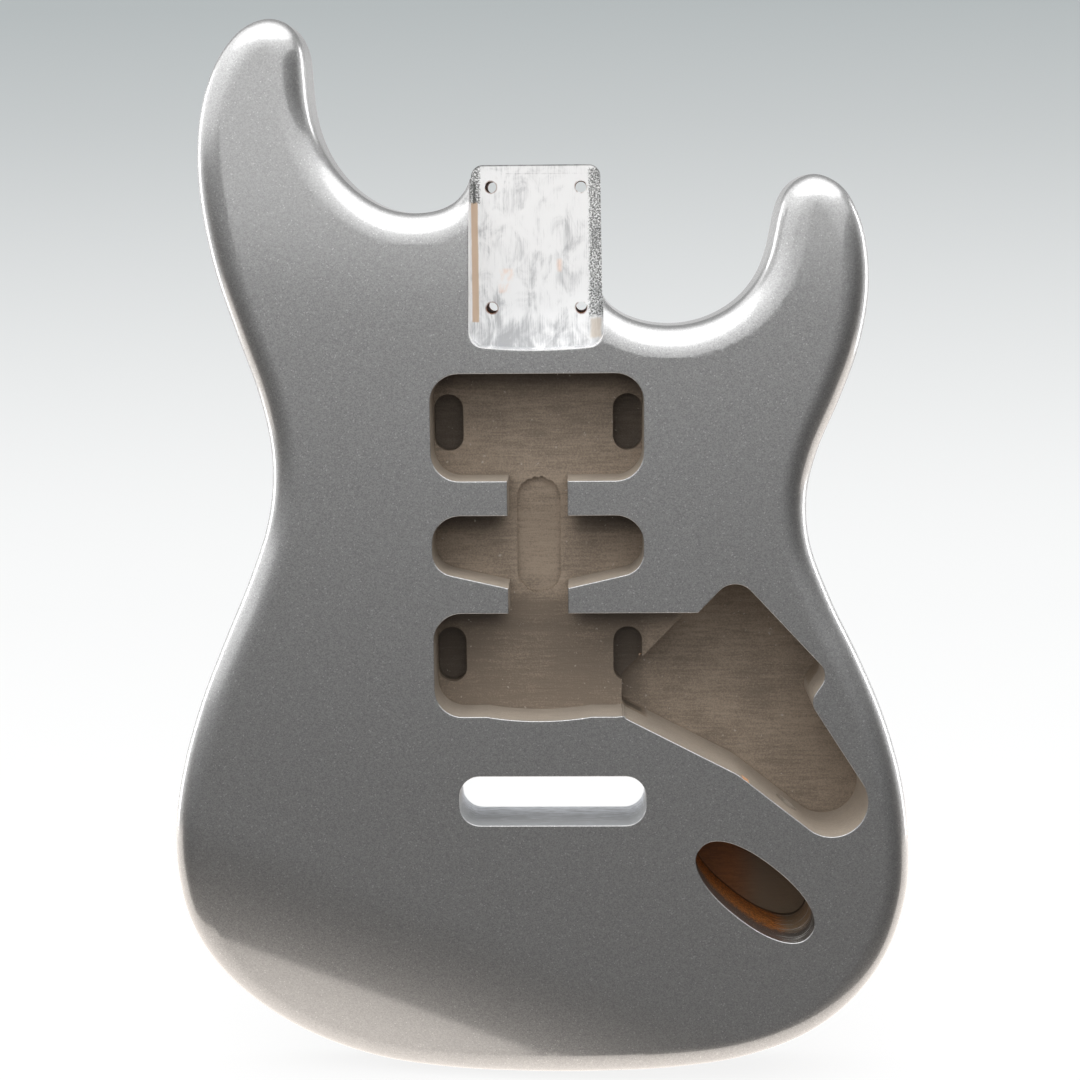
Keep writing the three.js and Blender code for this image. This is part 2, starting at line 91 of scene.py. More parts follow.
class Graph:
    # One material's or world's nodes.
    def __init__(self, tree):
        self.tree = tree
        tree.nodes.clear()

    def add(self, kind, settings=None, values=None, output=0):
        node = self.tree.nodes.new(kind)
        for name, value in (settings or {}).items():
            if name == "stops":
                ramp = node.color_ramp
                while len(ramp.elements) < len(value):
                    ramp.elements.new(1)
                for element, (place, colour) in zip(ramp.elements, value):
                    element.position = place
                    element.color = (*colour, 1)
            else:
                setattr(node, name, value)
        pairs = enumerate(values) if isinstance(values, list) else (values or {}).items()
        for key, value in pairs:
            socket = node.inputs[key]
            if isinstance(value, Link):
                self.tree.links.new(value.socket, socket)
            else:
                socket.default_value = value
        return Link(self, node.outputs[output]) if node.outputs else node

    def ramp(self, value, low, high):
        # 0 below low, 1 above high, smooth between them
        settings = {"interpolation_type": "SMOOTHSTEP"}
        return self.add("ShaderNodeMapRange", settings, {"Value": value, "From Min": low, "From Max": high})

    def band(self, value, low, high, soft):
        # 1 between low and high, 0 outside
        return self.ramp(value, low - soft, low + soft) * (1 - self.ramp(value, high - soft, high + soft))

    def patch(self, x, y, box, soft):
        # 1 inside a box of left, right, low and high, in millimetres
        left, right, low, high = box
        return self.band(x, left, right, soft) * self.band(y, low, high, soft)

    def noise(self, place, scale, detail=3.0, roughness=0.5, distortion=0.0):
        values = {
            "Vector": place, "Scale": scale, "Detail": detail, "Roughness": roughness,
            "Distortion": distortion,
        }
        return self.add("ShaderNodeTexNoise", {"noise_dimensions": "3D"}, values)

    def blend(self, factor, first, second):
        # colours mixed by a factor
        values = {0: factor, 6: colour4(first), 7: colour4(second)}
        return self.add("ShaderNodeMix", {"data_type": "RGBA"}, values, output=2)

    def bump(self, strength, distance, height):
        values = {"Strength": strength, "Distance": distance, "Height": height}
        return self.add("ShaderNodeBump", None, values)

    def grey(self, value):
        return self.add("ShaderNodeCombineXYZ", None, [value, value, value])

    def split(self, vector):
        first = self.add("ShaderNodeSeparateXYZ", None, [vector])
        return [Link(self, socket) for socket in first.socket.node.outputs]

    def stretched(self, place, scale, turn=(0, 0, 0)):
        return self.add("ShaderNodeMapping", None, {"Vector": place, "Scale": scale, "Rotation": turn})


def colour4(value):
    return value if isinstance(value, Link) else (*value, 1)


def lengthOf(across, along):
    return (across * across + along * along) ** 0.5


def newMaterial(name):
    material = bpy.data.materials.new(name)
    material.use_nodes = True
    return material, Graph(material.node_tree)


def finishMaterial(graph, surface):
    graph.add("ShaderNodeOutputMaterial", None, {"Surface": surface})


def finishMatte(graph, colour, roughness, bump):
    values = {"Base Color": colour, "Roughness": roughness, "Normal": bump}
    finishMaterial(graph, graph.add("ShaderNodeBsdfPrincipled", None, values))


def newPiece(name, bm, materials):
    mesh = bpy.data.meshes.new(name)
    bm.to_mesh(mesh)
    bm.free()
    for material in materials:
        mesh.materials.append(material)
    piece = bpy.data.objects.new(name, mesh)
    bpy.context.scene.collection.objects.link(piece)
    return piece


def ofKind(geom, kind):
    return [g for g in geom if isinstance(g, kind)]


def extrudeRing(bm, ring):
    # The walls that grow from a closed ring of points, and the new ring in the old one's order.
    edges = [bm.edges.get(pair) or bm.edges.new(pair) for pair in zip(ring, ring[1:] + ring[:1])]
    grown = bmesh.ops.extrude_edge_only(bm, edges=edges)["geom"]
    fresh = set(ofKind(grown, bmesh.types.BMVert))
    following = [next(e.other_vert(v) for e in v.link_edges if e.other_vert(v) in fresh) for v in ring]
    return following, ofKind(grown, bmesh.types.BMFace)


def cornerPolygon(bm, corners, cornerSegments=10):
    # A flat face whose corners (x, y, radius) are rounded: a point turns about each arc's middle.
    places = [Vector((x, y, 0)) for x, y, _ in corners]
    starts = []
    ends = []
    for i, (_, _, radius) in enumerate(corners):
        back = (places[i - 1] - places[i]).normalized()
        ahead = (places[(i + 1) % len(places)] - places[i]).normalized()
        if radius:
            half = back.angle(ahead) / 2
            middle = places[i] + (back + ahead).normalized() * radius / math.sin(half)
            starts.append(bm.verts.new(places[i] + back * radius / math.tan(half)))
            turn = math.copysign(math.pi - 2 * half, ahead.cross(back).z)
            spun = bmesh.ops.spin(
                bm, geom=[starts[-1]], cent=middle, axis=(0, 0, 1), angle=turn,
                steps=cornerSegments, use_merge=False,
            )
            ends += ofKind(spun["geom_last"], bmesh.types.BMVert)
        else:
            starts.append(bm.verts.new(places[i]))
            ends.append(starts[-1])
    for end, start in zip(ends, starts[1:] + starts[:1]):
        bm.edges.new((end, start))
    bmesh.ops.contextual_create(bm, geom=bm.edges[:])
    return bm.faces[:]


def boxCorners(x, y, width, height, radius):
    ends = ((-1, -1), (1, -1), (1, 1), (-1, 1))
    return [(x + i * width / 2, y + j * height / 2, radius) for i, j in ends]


def splitLongEdges(bm, longest):
    for edge in [e for e in bm.edges if e.calc_length() > longest]:
        cuts = int(edge.calc_length() / longest)
        bmesh.ops.subdivide_edges(bm, edges=[edge], cuts=cuts)


body = {
    "length": 466.6, "width": 324.6, "thickness": 44.5, "edgeRadius": 12.7,
    "rimStep": 2.0, "fairPasses": 24, "fairFactors": (0.5, -0.52), "edgeRings": 12,
    "frontGrid": 3.0, "backGrid": 6.0, "gridStart": 0.53,
    "limitStep": 0.3, "limitSlack": 0.985, "limitShare": 0.8, "limitPasses": 40,
}
tongue = {
    "reach": 34.6, "cornerRadius": 5.0, "sideReveal": 0.3, "backRadius": 3.0, "blend": 32.0,
    "mouthWidth": 55.0, "endWidth": 57.0, "pocketEnd": 42.2, "cornerSteps": 8, "keptPoints": 6,
}
bolts = {"across": 38.1, "along": 50.8, "diameter": 4.8, "overlap": 1.0}
forearm = {"depth": 18.0, "run": 84.0, "angle": 22.5, "reach": 369.0}
belly = {"depth": 18.0, "reach": 64.0, "halfLength": 118.0, "x": 118.0, "y": 86.0, "fullness": 1.25}

# The rim from the tongue's bass side round the tail to its treble side. Across: shares of half the
# width, and in the cutaways of the way from the tongue to the widest point. Along: shares of the
# length, and in the bass cutaway of the way from the tongue's corner to the horn's tip.
bassCutawayShares = [
    (0.0173, -0.0808), (0.0511, -0.1584), (0.1001, -0.2055), (0.1789, -0.2254), (0.2607, -0.1962),
    (0.3361, -0.1143), (0.3949, -0.006), (0.4424, 0.128), (0.4766, 0.289), (0.4954, 0.465), (0.502, 0.6502),
    (0.5119, 0.8205),
]
outerRimShares = [
    (-0.6235, 0.1964), (-0.6754, 0.2038), (-0.7413, 0.1969), (-0.7971, 0.1779), (-0.8382, 0.1517),
    (-0.8659, 0.118), (-0.8762, 0.0744), (-0.8666, 0.0297), (-0.8373, -0.0217), (-0.7866, -0.0773),
    (-0.735, -0.1309), (-0.7073, -0.1784), (-0.7064, -0.2169), (-0.7246, -0.2543), (-0.7748, -0.3035),
    (-0.8471, -0.3616), (-0.9127, -0.4172), (-0.9662, -0.4766), (-0.996, -0.5331), (-1, -0.5842),
    (-0.9737, -0.6404), (-0.9108, -0.6868), (-0.8004, -0.7306), (-0.6506, -0.7656), (-0.4683, -0.788),
    (-0.2666, -0.796), (-0.0519, -0.7958), (0.1602, -0.7919), (0.3608, -0.7852), (0.5575, -0.772),
    (0.7363, -0.7468), (0.8618, -0.7109), (0.9474, -0.6655), (0.9935, -0.6114), (1, -0.5629),
    (0.979, -0.5015), (0.9274, -0.4384), (0.8574, -0.3809), (0.7769, -0.3235), (0.7205, -0.2703),
    (0.711, -0.2261), (0.7363, -0.1862), (0.7918, -0.1394), (0.839, -0.0934), (0.863, -0.0466),
    (0.861, -0.0091), (0.8383, 0.025), (0.7894, 0.0529), (0.7206, 0.0637), (0.668, 0.057),
]
trebleCutawayShares = [
    (0.5641, 0.043), (0.5434, 0.0215), (0.5268, -0.0023), (0.4941, -0.0267), (0.4357, -0.0476),
    (0.3582, -0.0621), (0.2761, -0.0694), (0.194, -0.0707), (0.1121, -0.0665), (0.0489, -0.0579),
    (0.0172, -0.0492),
]
trebleJoinShare = -0.0431


def pocketHalf(y):
    share = (tongue["reach"] - y) / (tongue["reach"] + tongue["pocketEnd"])
    return (tongue["mouthWidth"] + (tongue["endWidth"] - tongue["mouthWidth"]) * share) / 2


def rimKnots():
    cornerY = tongue["reach"] - tongue["cornerRadius"]
    side = pocketHalf(cornerY) - tongue["sideReveal"]
    half = body["width"] / 2
    length = body["length"]
    joinY = trebleJoinShare * length
    tipY = max(along for _, along in outerRimShares) * length
    knots = [Vector((-side, cornerY, 0))]
    for across, along in bassCutawayShares:
        knots.append(Vector((-side - (half - side) * across, cornerY + (tipY - cornerY) * along, 0)))
    for across, along in outerRimShares:
        knots.append(Vector((across * half, along * length, 0)))
    for across, along in trebleCutawayShares:
        knots.append(Vector((side + (half - side) * across, along * length, 0)))
    knots.append(Vector((pocketHalf(joinY) - tongue["sideReveal"], joinY, 0)))
    return knots, side, cornerY


def knotSpan(knots, i, count):
    # One span of the curve through the knots, its last point left out.
    def knot(j):
        if j < 0:
            return knots[0] * 2 - knots[1]
        if j >= len(knots):
            return knots[-1] * 2 - knots[-2]
        return knots[j]
    p = [knot(j) for j in range(i - 1, i + 3)]
    gaps = [math.sqrt((p[j + 1] - p[j]).length) for j in range(3)]
    leave = (p[1] - p[0]) / gaps[0] - (p[2] - p[0]) / (gaps[0] + gaps[1]) + (p[2] - p[1]) / gaps[1]
    arrive = (p[2] - p[1]) / gaps[1] - (p[3] - p[1]) / (gaps[1] + gaps[2]) + (p[3] - p[2]) / gaps[2]
    leave *= gaps[1]
    arrive *= gaps[1]
    points = []
    for step in range(count):
        t = step / count
        points.append(
            (2 * t**3 - 3 * t**2 + 1) * p[1] + (t**3 - 2 * t**2 + t) * leave
            + (3 * t**2 - 2 * t**3) * p[2] + (t**3 - t**2) * arrive
        )
    return points


def makeRim(bm):
    # The whole rim as one loop of edges, faired along its curve but not round the tongue.
    knots, side, cornerY = rimKnots()
    points = []
    for i in range(len(knots) - 1):
        count = max(2, round((knots[i + 1] - knots[i]).length / body["rimStep"]))
        points += knotSpan(knots, i, count)
    points.append(knots[-1])
    curved = len(points)
    points.append(Vector((side, cornerY, 0)))
    radius = tongue["cornerRadius"]
    steps = tongue["cornerSteps"]
    for turn, x in ((0, side - radius), (math.pi / 2, radius - side)):
        for step in range(steps + 1):
            angle = turn + math.pi / 2 * step / steps
            points.append(Vector((x + radius * math.cos(angle), cornerY + radius * math.sin(angle), 0)))
    points = [p for i, p in enumerate(points) if (p - points[i - 1]).length > 0.05]
    verts = [bm.verts.new(p) for p in points]
    for pair in zip(verts, verts[1:] + verts[:1]):
        bm.edges.new(pair)
    kept = tongue["keptPoints"]
    for _ in range(body["fairPasses"]):
        for factor in body["fairFactors"]:
            bmesh.ops.smooth_vert(
                bm, verts=verts[kept:curved - kept], factor=factor, use_axis_x=True, use_axis_y=True,
            )
    splitLongEdges(bm, body["rimStep"] * 2)


def rimLoop():
    bm = bmesh.new()
    makeRim(bm)
    loop = [bm.verts[:][0]]
    edge = loop[0].link_edges[0]
    while True:
        ahead = edge.other_vert(loop[-1])
        if ahead == loop[0]:
            break
        loop.append(ahead)
        edge = next(e for e in ahead.link_edges if e != edge)
    points = [v.co.copy() for v in loop]
    bm.free()
    area = sum(a.x * b.y - b.x * a.y for a, b in zip(points, points[1:] + points[:1]))
    return points if area > 0 else points[::-1]


rim = rimLoop()
print("rim drawn,", len(rim), "points")


def wallTree(points, height=60):
    # A tall thin wall on the rim, to measure distances from.
    bm = bmesh.new()
    raised, _ = extrudeRing(bm, [bm.verts.new((p.x, p.y, -height)) for p in points])
    bmesh.ops.translate(bm, verts=raised, vec=(0, 0, 2 * height))
    tree = BVHTree.FromBMesh(bm)
    bm.free()
    return tree


rimWall = wallTree(rim)


def rimDistance(x, y):
    return rimWall.find_nearest(Vector((x, y, 0)))[3]


def forearmDrop(x, y):
    angle = math.radians(forearm["angle"])
    along = -x * math.sin(angle) - y * math.cos(angle)
    return forearm["depth"] * max(0, (along - forearm["reach"] + forearm["run"]) / forearm["run"]) ** 2


def bellyRise(x, y):
    across = (x + belly["x"]) / belly["reach"]
    along = (y + belly["y"]) / belly["halfLength"]
    return belly["depth"] * max(0, 1 - across**2 - along**2) ** belly["fullness"]


def pocketDistance(x, y):
    return max(0, abs(x) - pocketHalf(y), -y - tongue["pocketEnd"])


def backRadius(x, y):
    t = min(1, pocketDistance(x, y) / tongue["blend"])
    return tongue["backRadius"] + (body["edgeRadius"] - tongue["backRadius"]) * t * t * (3 - 2 * t)


def edgeFall(radius, distance):
    return radius - math.sqrt(radius**2 - max(0, radius - distance) ** 2)


def frontHeight(x, y):
    return -edgeFall(body["edgeRadius"], rimDistance(x, y)) - forearmDrop(x, y)


def backHeight(x, y):
    return edgeFall(backRadius(x, y), rimDistance(x, y)) + bellyRise(x, y) - body["thickness"]


def rimNormals():
    inward = []
    for i, point in enumerate(rim):
        tangent = (rim[(i + 1) % len(rim)] - rim[i - 1]).normalized()
        inward.append(Vector((-tangent.y, tangent.x, 0)))
    return inward


def inwardLimits(inward):
    # How far each rim point can be drawn in before another part of the rim is nearer.
    limits = []
    for point, way in zip(rim, inward):
        reach = 0.5
        while reach < body["edgeRadius"]:
            inner = point + way * reach
            if rimDistance(inner.x, inner.y) < body["limitSlack"] * reach - 0.01:
                break
            reach += body["limitStep"]
        limits.append(reach * body["limitShare"] if reach < body["edgeRadius"] else body["edgeRadius"])
    for _ in range(body["limitPasses"]):
        following = limits[1:] + limits[:1]
        limits = [
            min(limit, (limits[i - 1] + limit * 2 + following[i]) / 4) for i, limit in enumerate(limits)
        ]
    return limits


def faceRings(bm, ring, inward, limits, height, radiusAt, grid):
    # Rings of a round edge drawn in from the rim, and a fine grid inside the last one.
    count = body["edgeRings"]
    reach = [min(radiusAt(p.x, p.y), limit) for p, limit in zip(rim, limits)]
    for step in range(1, count + 1):
        turn = math.pi / 2 * (1 - step / count)
        ring, _ = extrudeRing(bm, ring)
        for vert, point, way, far in zip(ring, rim, inward, reach):
            inner = point + way * far * (1 - math.sin(turn))
            vert.co = (inner.x, inner.y, height(inner.x, inner.y))
    flat = [bm.faces.new(ring)]
    for k in (0, 1):
        place = min(p[k] for p in rim) + grid * body["gridStart"]
        while place < max(p[k] for p in rim):
            edges = list({e for f in flat for e in f.edges})
            geom = flat + edges + list({v for f in flat for v in f.verts})
            middle = Vector((0, 0, 0))
            middle[k] = place
            normal = Vector((0, 0, 0))
            normal[k] = 1
            cut = bmesh.ops.bisect_plane(bm, geom=geom, plane_co=middle, plane_no=normal, dist=1e-5)
            flat = ofKind(cut["geom"], bmesh.types.BMFace)
            place += grid
    for vert in {v for f in flat for v in f.verts}:
        vert.co.z = height(vert.co.x, vert.co.y)


def makeSlab():
    bm = bmesh.new()
    inward = rimNormals()
    limits = inwardLimits(inward)
    top = [bm.verts.new((p.x, p.y, frontHeight(p.x, p.y))) for p in rim]
    bottom, _ = extrudeRing(bm, top)
    for vert in bottom:
        vert.co.z = backHeight(vert.co.x, vert.co.y)
    faceRings(bm, top, inward, limits, frontHeight, lambda x, y: body["edgeRadius"], body["frontGrid"])
    faceRings(bm, bottom, inward, limits, backHeight, backRadius, body["backGrid"])
    bmesh.ops.recalc_face_normals(bm, faces=bm.faces)
    return bm


slabMesh = makeSlab()
print("slab drawn,", len(slabMesh.faces), "faces")


lacquer = {
    "flakeScale": 2400.0, "darkFlake": (0.345, 0.345, 0.345), "brightFlake": (0.5, 0.5, 0.5),
    "spark": (0.66, 0.66, 0.66), "sparkStart": 0.975, "sparkFull": 0.995,
    "metallic": 1.0, "roughness": 0.43, "coatRoughness": 0.09, "coatIor": 2.11,
    "flakeTilt": 0.07, "flakeHeight": 0.0002, "tiltScale": 3300.0,
}


def makeLacquer():
    material, graph = newMaterial("metallicLacquer")
    place = graph.add("ShaderNodeTexCoord", output=3)
    values = {"Vector": place, "Scale": lacquer["flakeScale"]}
    level, spark, _ = graph.split(graph.add("ShaderNodeTexVoronoi", None, values, output=1))
    colour = graph.blend(level, lacquer["darkFlake"], lacquer["brightFlake"])
    sparks = graph.ramp(spark, lacquer["sparkStart"], lacquer["sparkFull"])
    colour = graph.blend(sparks, colour, lacquer["spark"])
    tilt = graph.noise(place, lacquer["tiltScale"], 1.0, 0.6)
    values = {
        "Base Color": colour, "Metallic": lacquer["metallic"], "Roughness": lacquer["roughness"],
        "Normal": graph.bump(lacquer["flakeTilt"], lacquer["flakeHeight"], tilt),
        "Coat Weight": 1.0, "Coat Roughness": lacquer["coatRoughness"], "Coat IOR": lacquer["coatIor"],
    }
    finishMaterial(graph, graph.add("ShaderNodeBsdfPrincipled", None, values))
    return material


def millimetres(graph):
    # The piece's own coordinates, and its x, depth behind the front face, and y in millimetres.
    place = graph.add("ShaderNodeTexCoord", output=3)
    x, y, z = graph.split(place)
    return place, x * 1000, y * 1000 + pocketDepth, z * 1000


routeFinish = {
    # worn is the colour of real dust, and is also used as painted light on the walls.
    "dark": (0.19, 0.15, 0.113), "light": (0.345, 0.276, 0.21), "worn": (0.5, 0.45, 0.39),
    # ear is painted shade, in the ears and under the near walls.
    "bare": (0.7, 0.27, 0.07), "splinter": (0.85, 0.75, 0.6), "ear": (0.035, 0.025, 0.018),
    # Noises, and their shares of the tone.
    "stroke": (70, 800, 800), "cloud": 45.0, "grain": 1600.0, "dust": 520.0, "rag": 700.0, "ragWidth": 3.0,
    "strokeShare": 0.4, "cloudShare": 0.36, "grainShare": 0.44, "tones": (0.45, 0.77), "dusty": (0.7, 0.76),
    # Boxes of left, right, low and high.
    "channel": (-10, 10, -150, -98), "bridge": (-46, 46, -202, -153), "between": (-16, 16, -165, -100),
    "nearWalls": [(-46, 46, -59, -50), (-46, 46, -122, -110), (-46, 62, -164, -152)],
    "chip": (88.0, 91.0, -231.0, -227.0), "speck": (43.9, 45.4, -181.2, -179.6),
    # Spans over which a mask rises or ends: depths, but for sides, which go across, and deepNear.
    "earTop": (25.8, 27.5), "earFloor": (33, 35), "earSide": (44, 46), "litWallEnd": (21.3, 22.8),
    "deepEnd": (36, 37.3), "deepSide": (46, 48), "deepNear": (-194, -190), "chipEnd": (4, 7),
    "channelGain": 0.08, "bridgeLoss": 0.1, "earShare": 0.6, "nearShare": 0.7, "nearSoft": 4.5,
    "litWallShare": 0.4, "dustShare": 0.6, "roughness": 0.62, "relief": 0.5, "height": 0.0005,
}


def routePaint():
    # Thin matte paint brushed across the routes, with dust in it, and chipped at one lip. Painted light
    # and shade: the walls are painted lighter, and the ears and the floor under the near walls darker.
    look = routeFinish
    material, graph = newMaterial("routePaint")
    place, x, depth, y = millimetres(graph)
    strokes = graph.noise(graph.stretched(place, look["stroke"]), 1.0, 5.0, 0.62, 0.5)
    clouds = graph.noise(place, look["cloud"], 4.0, 0.55)
    grain = graph.noise(place, look["grain"], 2.0, 0.6)
    tone = strokes * look["strokeShare"] + clouds * look["cloudShare"] + grain * look["grainShare"]
    tone = tone + graph.patch(x, y, look["channel"], 3) * look["channelGain"]
    tone = tone - graph.patch(x, y, look["bridge"], 3) * look["bridgeLoss"]
    colour = graph.blend(graph.ramp(tone, *look["tones"]), look["dark"], look["light"])
    # Painted shade: the ears are painted darker, down to their floors.
    ears = graph.ramp(depth, *look["earTop"]) * (1 - graph.ramp(depth, *look["earFloor"]))
    ears = ears * (1 - graph.ramp(x, *look["earSide"])) * look["earShare"]
    colour = graph.blend(ears, colour, look["ear"])
    # Painted shadow: the routes are painted darker just under their near walls, except between them where
    # the channel runs.
    shadowBeside = (1 - graph.patch(x, y, look["between"], 5)) * look["nearShare"]
    for box in look["nearWalls"]:
        colour = graph.blend(graph.patch(x, y, box, look["nearSoft"]) * shadowBeside, colour, look["ear"])
    # Painted light: the walls, down to the pickup floors' depth, and the control cavity's deep walls are
    # painted lighter with the worn colour.
    deepLitWalls = (1 - graph.ramp(depth, *look["deepEnd"])) * graph.ramp(x, *look["deepSide"])
    deepLitWalls = deepLitWalls * (1 - graph.ramp(y, *look["deepNear"]))
    walls = (1 - graph.ramp(depth, *look["litWallEnd"])).highest(deepLitWalls) * look["litWallShare"]
    dust = graph.ramp(graph.noise(place, look["dust"], 2.0, 0.5), *look["dusty"]) * look["dustShare"]
    colour = graph.blend(dust.highest(walls), colour, look["worn"])
    ragged = (graph.noise(place, look["rag"], 3.0, 0.7) - 0.5) * look["ragWidth"]
    chip = graph.patch(x + ragged, y + ragged, look["chip"], 0.3)
    chip = chip * (1 - graph.ramp(depth, *look["chipEnd"]))
    chip = chip.highest(graph.patch(x + ragged * 0.2, y, look["speck"], 0.2))
    bare = graph.blend(graph.ramp(grain, 0.5, 0.6), look["bare"], look["splinter"])
    colour = graph.blend(chip, colour, bare)
    bump = graph.bump(look["relief"], look["height"], strokes * 0.7 + grain * 0.3)
    finishMatte(graph, colour, look["roughness"], bump)
    return material


primer = {
    "white": (0.93, 0.93, 0.93), "silver": (0.46, 0.465, 0.475), "tan": (0.6, 0.41, 0.26),
    "beige": (0.62, 0.53, 0.43), "blush": (0.9, 0.55, 0.36), "dust": (0.06, 0.065, 0.06),
    # outline is painted shade along the tongue's end.
    "scorch": (0.2, 0.075, 0.03), "outline": (0.1, 0.1, 0.1),
    "fibre": (2600, 500, 80), "rubbed": (120, 60, 70), "speckle": 1350.0, "wander": (300, 300, 120),
    "wanderWidth": 3.0, "tones": (0.62, 0.9), "dusty": (0.64, 0.73), "dustShare": 0.9,
    # Box, how far its sides wander, softness and gain in grey.
    "worn": [((-24, 4, -46, -21), 1.0, 7.0, 0.08), ((-28, 28, -46, -31), 0.0, 4.0, 0.12)],
    # Colour, box, how far its sides wander, softness and share.
    "strips": [
        ("tan", (-27.4, -24.6, -31, 19), 0.15, 0.3, 0.85), ("beige", (23, 27.5, -38, -30), 0.4, 0.8, 0.7),
    ],
    "blushes": [(-16, -10, -14, -9), (-16, -11, -19, -15), (8.8, 10.8, -10, -5)], "blushShare": 0.45,
    "dustStrip": (22.0, 29, -29.5, 33.5), "dustCorner": (-29, -23.2, 18.5, 36),
    "darkStreak": (-26.6, -25.4, 18.5, 28), "scratch": (30.8, 31.1), "streakShare": 0.8,
    "scorchWidth": 0.7, "scorchShare": 0.8, "outlineWidth": (0.7, 0.3), "outlineStart": (26, 31),
    "relief": 0.4, "height": 0.0003, "roughness": 0.55,
}


def pocketPrimer():
    # Whitish primer rubbed along the pocket, with lacquer dust along its sides and scorched rims on the
    # bolt holes, and a thin dark line of painted shade at the tongue's end.
    material, graph = newMaterial("pocketPrimer")
    place, x, depth, y = millimetres(graph)
    fibre = graph.noise(graph.stretched(place, primer["fibre"]), 1.0, 4.0, 0.7, 0.3)
    rubbed = graph.noise(graph.stretched(place, primer["rubbed"]), 1.0, 5.0, 0.62, 0.8)
    speckle = graph.noise(place, primer["speckle"], 3.0, 0.8)
    wander = graph.noise(graph.stretched(place, primer["wander"]), 1.0, 4.0, 0.6)
    wander = (wander - 0.5) * primer["wanderWidth"]
    wanderY = y + wander
    tone = fibre * 0.5 + rubbed * 0.8
    for box, sway, soft, gain in primer["worn"]:
        tone = tone + graph.patch(x + wander * sway, wanderY, box, soft) * gain
    colour = graph.blend(graph.ramp(tone, *primer["tones"]), primer["white"], primer["silver"])
    for name, box, sway, soft, share in primer["strips"]:
        mask = graph.patch(x + wander * sway, wanderY, box, soft)
        colour = graph.blend(mask * share, colour, primer[name])
    for blush in primer["blushes"]:
        mask = graph.patch(x + wander * 0.5, y + wander * 0.5, blush, 0.9) * graph.ramp(rubbed, 0.35, 0.6)
        colour = graph.blend(mask * primer["blushShare"], colour, primer["blush"])
    dusty = graph.patch(x + wander * 0.6, wanderY, primer["dustStrip"], 1.2)
    dusty = dusty.highest(graph.patch(x + wander * 0.4, wanderY, primer["dustCorner"], 1.0))
    dust = graph.ramp(speckle + dusty * 0.2, *primer["dusty"]) * dusty * primer["dustShare"]
    colour = graph.blend(dust, colour, primer["dust"])
    scratch = graph.band(y + wander * 0.2, *primer["scratch"], 0.15) * graph.ramp(rubbed, 0.4, 0.6) * 0.4
    streak = graph.patch(x, wanderY, primer["darkStreak"], 0.25).highest(scratch)
    colour = graph.blend(streak * primer["streakShare"], colour, primer["dust"])
    ring = lengthOf(abs(x) - bolts["across"] / 2, abs(y) - bolts["along"] / 2) + wander * 0.3
    hole = bolts["diameter"] / 2
    scorched = (1 - graph.ramp(ring, hole, hole + primer["scorchWidth"])) * graph.ramp(rubbed, 0.35, 0.5)
    colour = graph.blend(scorched * primer["scorchShare"], colour, primer["scorch"])
    # Painted shade: a thin dark line just inside the tongue's rounded end.
    radius = tongue["cornerRadius"]
    across = (abs(x) - (pocketHalf(tongue["reach"]) - radius)).highest(0)
    corner = lengthOf(across, (y - (tongue["reach"] - radius)).highest(0))
    outline = graph.ramp(corner, *(radius - width for width in primer["outlineWidth"]))
    outline = outline * graph.ramp(y, *primer["outlineStart"])
    colour = graph.blend(outline * (0.3 + rubbed), colour, primer["outline"])
    bump = graph.bump(primer["relief"], primer["height"], fibre * 0.6 + speckle * dusty * 0.8)
    finishMatte(graph, colour, primer["roughness"], bump)
    return material


wood = {
    # dark is painted shade, for the crease at the floor.
    "dark": (0.025, 0.015, 0.009), "brown": (0.15, 0.047, 0.009), "orange": (0.72, 0.26, 0.055),
    "soot": (0.04, 0.04, 0.04), "grey": (0.22, 0.178, 0.12), "ring": (0.6, 0.59, 0.56),
    "grain": (130, 1100, 1100), "grainTurn": (0, -0.695, 0), "fine": 1300.0, "ringScale": (30, 1100, 30),
    "streaks": (0.4, 0.68), "floorShare": 0.25, "floorGain": 0.18,
    # Spans over which a mask rises or ends, across or in depth.
    "floorDepth": (37.2, 37.9), "creaseShadeDepth": (35.6, 37.9),
    "sootEnd": (18.0, 27.0), "sootStart": (-1, 0.6),
    "greyFloor": (88, 106), "greyWall": (104, 112), "ringSide": (103, 108),
    "greyShare": 0.85, "sootShare": 0.9, "ringShare": 0.7, "creaseShadeShare": 0.85,
    "relief": 0.6, "height": 0.0006, "roughness": 0.6,
}


